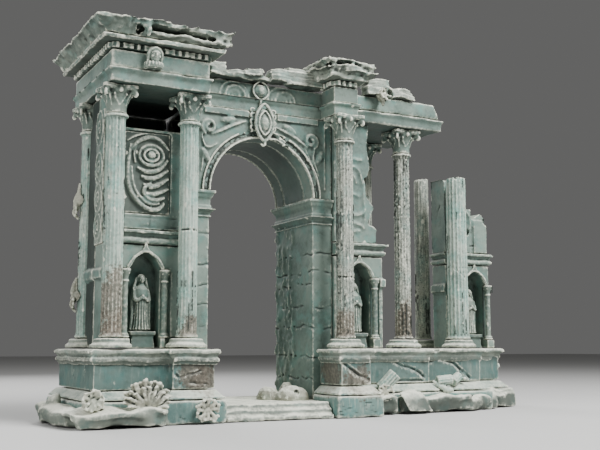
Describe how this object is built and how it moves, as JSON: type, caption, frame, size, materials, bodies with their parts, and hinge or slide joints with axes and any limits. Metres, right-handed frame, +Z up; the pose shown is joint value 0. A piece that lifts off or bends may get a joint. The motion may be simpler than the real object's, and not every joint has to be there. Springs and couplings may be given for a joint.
{
  "type": "miniature terrain ruin",
  "caption": "Ruined triumphal gate for tabletop miniatures: broken pavilion, arch, fluted columns and stepped pedestals with statue niches and sea growths.",
  "frame": {"origin": "middle of the footprint, on the underside the ruin stands on", "axes": "+X along the front from the pavilion to the broken end, +Y from the front to the back, +Z up; the front faces -Y"},
  "size_m": [0.284, 0.094, 0.1867],
  "materials": {
    "verdigris_masonry": "printed plastic painted grey-green, drybrushed pale along edges",
    "blue_teal_masonry": "printed plastic painted blue-teal with dark recesses",
    "pale_carving": "printed plastic painted grey-green under a heavy cream drybrush",
    "sea_growth": "printed plastic painted cream over brown",
    "reef_rock": "printed plastic painted grey-green with pale flat tops",
    "plain_pin": "bare printed plastic"
  },
  "bodies": {
    "root": {"arch_piers": "verdigris_masonry", "architrave_centre": "verdigris_masonry", "architrave_left": "verdigris_masonry", "architrave_wing": "verdigris_masonry", "archivolts": "pale_carving", "barrel_vault": "verdigris_masonry", "base_moulding_left": "blue_teal_masonry", "base_moulding_right": "blue_teal_masonry", "broken_roof_pieces": "verdigris_masonry", "capitals": "pale_carving", "carved_panel_left": "pale_carving", "column_bases": "verdigris_masonry", "column_creatures": "sea_growth", "corona_left": "verdigris_masonry", "crown_moulding_left": "verdigris_masonry", "dado_left": "blue_teal_masonry", "dado_right": "blue_teal_masonry", "dentil_courses": "verdigris_masonry", "end_upper_wall": "verdigris_masonry", "end_wall": "verdigris_masonry", "eye_cartouches": "pale_carving", "fallen_pieces": "reef_rock", "frieze_centre": "verdigris_masonry", "frieze_left": "verdigris_masonry", "frieze_mask_head": "pale_carving", "frieze_wing": "verdigris_masonry", "front_wall_left": "verdigris_masonry", "impost_bands": "verdigris_masonry", "ledge_mouldings": "verdigris_masonry", "middle_upper_wall": "verdigris_masonry", "middle_wall": "verdigris_masonry", "niche_colonnettes": "pale_carving", "niche_hoods": "pale_carving", "niche_statues": "pale_carving", "pedestal_cap_left": "verdigris_masonry", "pedestal_cap_right": "verdigris_masonry", "pedestal_dowels": "plain_pin", "plinth_left": "blue_teal_masonry", "plinth_right": "blue_teal_masonry", "rear_wall_left": "verdigris_masonry", "ressaut_architrave": "verdigris_masonry", "ressaut_cornice": "verdigris_masonry", "ressaut_frieze": "verdigris_masonry", "rocks": "reef_rock", "sea_growths": "sea_growth", "shaft_centre": "verdigris_masonry", "shaft_end_back": "verdigris_masonry", "shaft_end_front": "verdigris_masonry", "shaft_side": "verdigris_masonry", "shaft_wing": "verdigris_masonry", "shaft_wing_back": "verdigris_masonry", "shafts_front": "verdigris_masonry", "side_wall_left": "verdigris_masonry", "side_wall_roundels": "pale_carving", "spandrel_wall_back": "verdigris_masonry", "spandrel_wall_front": "verdigris_masonry", "statue_stands": "verdigris_masonry", "steps_and_roadway": "blue_teal_masonry", "upper_wall_left": "verdigris_masonry"}
  },
  "joints": []
}
